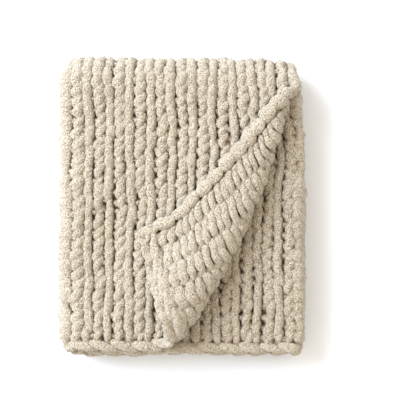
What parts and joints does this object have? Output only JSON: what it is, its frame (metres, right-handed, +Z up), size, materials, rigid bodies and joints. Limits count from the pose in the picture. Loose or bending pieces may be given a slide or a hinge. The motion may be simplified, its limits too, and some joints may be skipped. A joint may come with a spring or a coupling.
{
  "type": "folded chunky knit blanket",
  "caption": "Chunky knit throw in oatmeal chenille yarn, folded flat in layers, with one corner of the top layer turned back.",
  "frame": {"origin": "centre of the folded blanket's outline, on the surface it lies on", "axes": "+Z up through the layers, +Y towards the fold at the far end, +X towards the side where the top corner is turned back"},
  "size_m": [0.5076, 0.6392, 0.1819],
  "materials": {
    "chenille": "matt chenille yarn, oatmeal"
  },
  "bodies": {
    "root": {"blanket": "chenille"}
  },
  "joints": []
}
